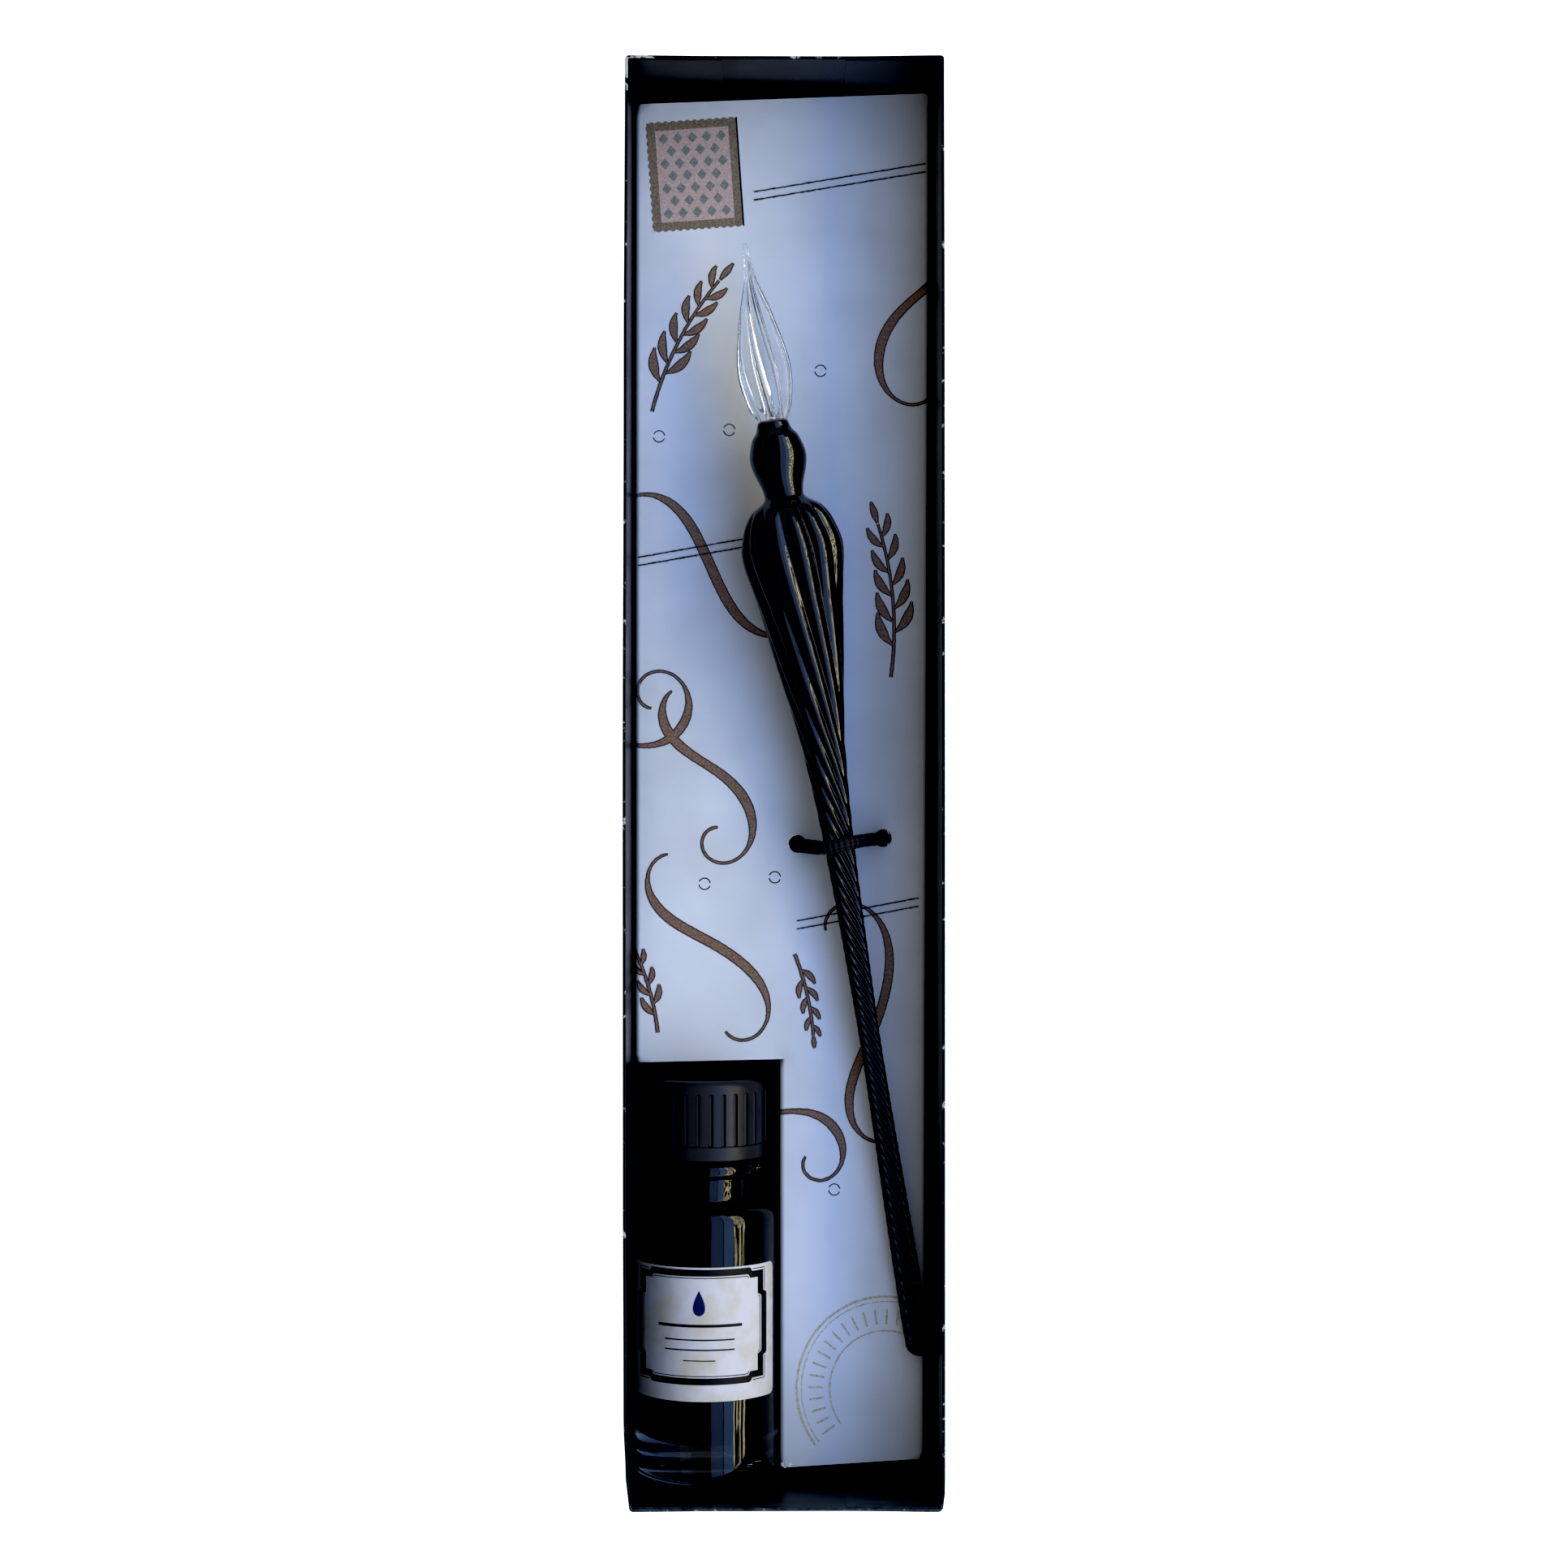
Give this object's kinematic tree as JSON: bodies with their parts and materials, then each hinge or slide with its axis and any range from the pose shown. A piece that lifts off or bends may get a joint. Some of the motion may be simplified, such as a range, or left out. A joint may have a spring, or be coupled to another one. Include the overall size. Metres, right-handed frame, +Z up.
{
  "type": "calligraphy set box",
  "caption": "Open black carton tray with a white card platform, a twisted glass dip pen held by an elastic loop, and a small screw-capped bottle of black ink lying in a bay.",
  "frame": {"origin": "middle of the tray's underside, on the surface that it stands on", "axes": "+Y along the tray towards the pen's nib, +X across the tray away from the bottle, +Z up"},
  "size_m": [0.0472, 0.213, 0.03],
  "materials": {
    "tray_board": "black printed carton board under a glossy film",
    "printed_card": "white silk-coated card with a brown pen-flourish print",
    "elastic_cord": "black braided round elastic",
    "clear_glass": "fire-polished clear glass",
    "dark_glass": "fire-polished glass, so dark that it reads as black",
    "bottle_glass": "clear moulded glass",
    "label_paper": "uncoated white label paper with a printed black frame",
    "black_ink": "liquid black ink",
    "cap_plastic": "moulded black plastic",
    "liner_foam": "pale foamed liner"
  },
  "bodies": {
    "tray": {"carton_tray": "tray_board"},
    "insert": {"card_platform": "printed_card", "elastic_loop": "elastic_cord"},
    "pen": {"pen_nib": "clear_glass", "pen_handle": "dark_glass"},
    "bottle": {"bottle_glass": "bottle_glass", "bottle_label": "label_paper", "ink": "black_ink"},
    "liner": {"cap_liner": "liner_foam"},
    "cap": {"bottle_cap": "cap_plastic"}
  },
  "joints": [
    {"name": "insert_lift", "type": "slide", "parent": "tray", "child": "insert", "axis": [0, 0, 1], "range_m": [0, 0.034]},
    {"name": "pen_slide", "type": "slide", "parent": "insert", "child": "pen", "axis": [-0.1568, 0.9864, 0.0494], "range_m": [0, 0.02]},
    {"name": "bottle_lift", "type": "slide", "parent": "tray", "child": "bottle", "axis": [0, 0, 1], "range_m": [0, 0.034]},
    {"name": "cap_rise", "type": "slide", "parent": "bottle", "child": "liner", "axis": [0, 1, 0], "range_m": [0, 0.0019]},
    {"name": "cap_turn", "type": "hinge", "parent": "liner", "child": "cap", "pos_m": [-0.0119, -0.05, 0.01155], "axis": [0, 1, 0], "range_deg": [0, 270]}
  ],
  "couplings": [
    {"joint": "cap_rise", "follows": "cap_turn", "m_per_rad": 0.00039789}
  ]
}
